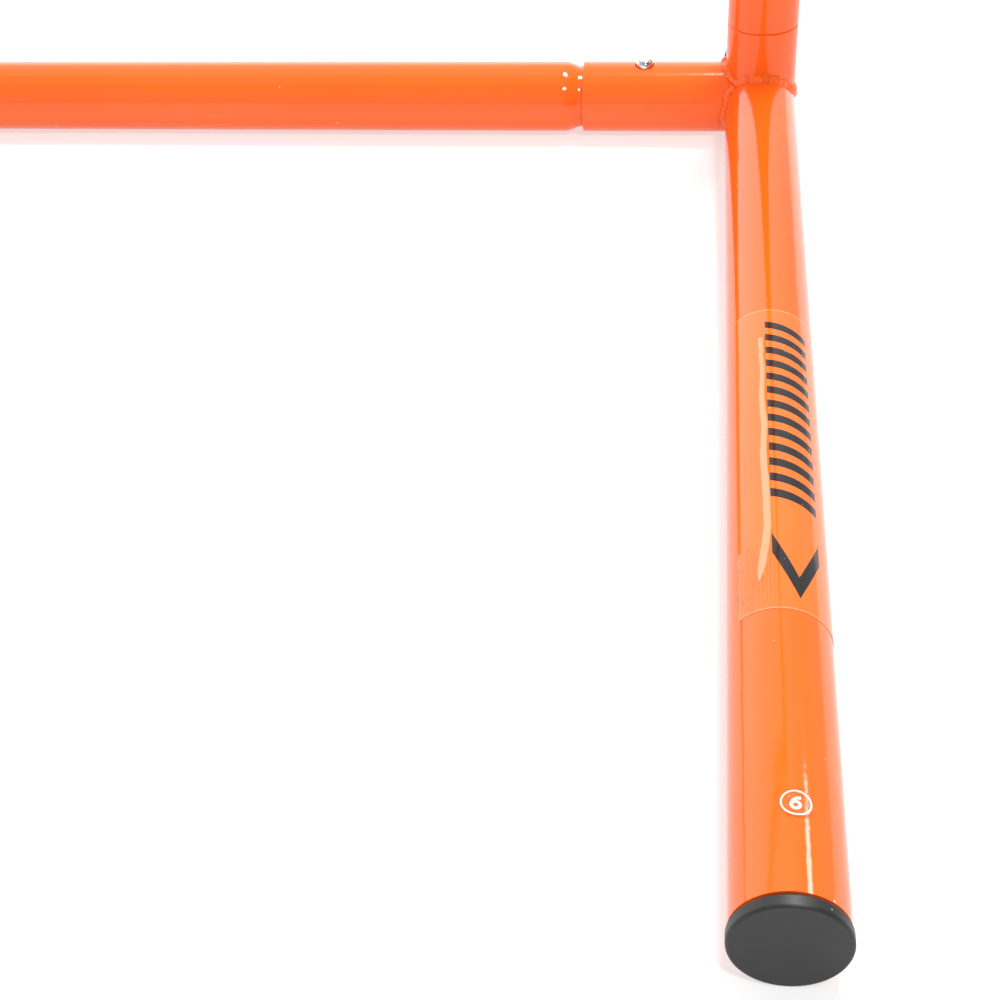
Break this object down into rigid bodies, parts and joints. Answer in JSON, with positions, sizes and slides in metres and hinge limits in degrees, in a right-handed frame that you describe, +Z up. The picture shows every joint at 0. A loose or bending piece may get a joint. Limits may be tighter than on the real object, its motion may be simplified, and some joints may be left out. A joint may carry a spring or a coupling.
{
  "type": "agility hurdle",
  "caption": "Knock-down training hurdle in welded round steel tube, with plug-in crossbars, snap buttons and telescoping height adjustment.",
  "frame": {"origin": "on the floor, under the middle of the hurdle's outline", "axes": "+X across the hurdle to its right as seen from the front, -Y towards the front, where the feet point, +Z up"},
  "size_m": [0.854, 0.526, 0.5084],
  "materials": {
    "orange_powder_coat": "glossy powder coat over welded steel tube",
    "cap_plastic": "moulded polyethylene with a fine matt grain",
    "chrome_button": "bright plated steel",
    "spring_steel": "bare tempered strip",
    "black_nylon": "moulded nylon",
    "knob_plastic": "moulded nylon with a fine spark-eroded grain",
    "zinc_steel": "bright zinc plating",
    "decal_film": "clear gloss film with dark print",
    "number_label": "clear gloss film with a white ring and number"
  },
  "bodies": {
    "base_frame": {"base_crossbar": "orange_powder_coat", "left_foot_tube": "orange_powder_coat", "left_front_cap": "cap_plastic", "left_rear_cap": "cap_plastic", "left_crossbar_socket": "orange_powder_coat", "left_crossbar_spring": "spring_steel", "left_upright_socket": "orange_powder_coat", "left_upright_spring": "spring_steel", "left_upright_tube": "orange_powder_coat", "left_upright_sleeve": "zinc_steel", "left_guide_bush": "black_nylon", "left_lock_nut": "orange_powder_coat", "left_foot_decal": "decal_film", "left_number_label": "number_label", "right_foot_tube": "orange_powder_coat", "right_front_cap": "cap_plastic", "right_rear_cap": "cap_plastic", "right_crossbar_socket": "orange_powder_coat", "right_crossbar_spring": "spring_steel", "right_upright_socket": "orange_powder_coat", "right_upright_spring": "spring_steel", "right_upright_tube": "orange_powder_coat", "right_upright_sleeve": "zinc_steel", "right_guide_bush": "black_nylon", "right_lock_nut": "orange_powder_coat", "right_foot_decal": "decal_film", "right_number_label": "number_label"},
    "upper_frame": {"top_bar": "orange_powder_coat", "left_riser_tube": "orange_powder_coat", "left_riser_glide": "black_nylon", "left_top_socket": "orange_powder_coat", "left_top_cap": "cap_plastic", "left_top_spring": "spring_steel", "right_riser_tube": "orange_powder_coat", "right_riser_glide": "black_nylon", "right_top_socket": "orange_powder_coat", "right_top_cap": "cap_plastic", "right_top_spring": "spring_steel"},
    "left_crossbar_button": {"left_crossbar_button": "chrome_button"},
    "left_upright_button": {"left_upright_button": "chrome_button"},
    "left_top_button": {"left_top_button": "chrome_button"},
    "left_knob": {"left_lock_knob": "knob_plastic", "left_lock_stud": "zinc_steel"},
    "right_crossbar_button": {"right_crossbar_button": "chrome_button"},
    "right_upright_button": {"right_upright_button": "chrome_button"},
    "right_top_button": {"right_top_button": "chrome_button"},
    "right_knob": {"right_lock_knob": "knob_plastic", "right_lock_stud": "zinc_steel"}
  },
  "joints": [
    {"name": "height_slide", "type": "slide", "parent": "base_frame", "child": "upper_frame", "axis": [0, 0, 1], "range_m": [0, 0.254]},
    {"name": "left_crossbar_button_press", "type": "slide", "parent": "base_frame", "child": "left_crossbar_button", "axis": [0, 0, -1], "range_m": [0, 0.0052], "stiffness_N_per_m": 2500, "deforming": ["left_crossbar_spring"]},
    {"name": "left_upright_button_press", "type": "slide", "parent": "base_frame", "child": "left_upright_button", "axis": [0, -1, 0], "range_m": [0, 0.0052], "stiffness_N_per_m": 2500, "deforming": ["left_upright_spring"]},
    {"name": "left_top_button_press", "type": "slide", "parent": "upper_frame", "child": "left_top_button", "axis": [0, 0, 1], "range_m": [0, 0.0052], "stiffness_N_per_m": 2500, "deforming": ["left_top_spring"]},
    {"name": "left_knob_turn", "type": "hinge", "parent": "base_frame", "child": "left_knob", "pos_m": [-0.381, 0.222, 0.43397], "axis": [-1, 0, 0], "range_deg": [0, 540]},
    {"name": "right_crossbar_button_press", "type": "slide", "parent": "base_frame", "child": "right_crossbar_button", "axis": [0, 0, -1], "range_m": [0, 0.0052], "stiffness_N_per_m": 2500, "deforming": ["right_crossbar_spring"]},
    {"name": "right_upright_button_press", "type": "slide", "parent": "base_frame", "child": "right_upright_button", "axis": [0, -1, 0], "range_m": [0, 0.0052], "stiffness_N_per_m": 2500, "deforming": ["right_upright_spring"]},
    {"name": "right_top_button_press", "type": "slide", "parent": "upper_frame", "child": "right_top_button", "axis": [0, 0, 1], "range_m": [0, 0.0052], "stiffness_N_per_m": 2500, "deforming": ["right_top_spring"]},
    {"name": "right_knob_turn", "type": "hinge", "parent": "base_frame", "child": "right_knob", "pos_m": [0.381, 0.222, 0.43397], "axis": [1, 0, 0], "range_deg": [0, 540]}
  ]
}
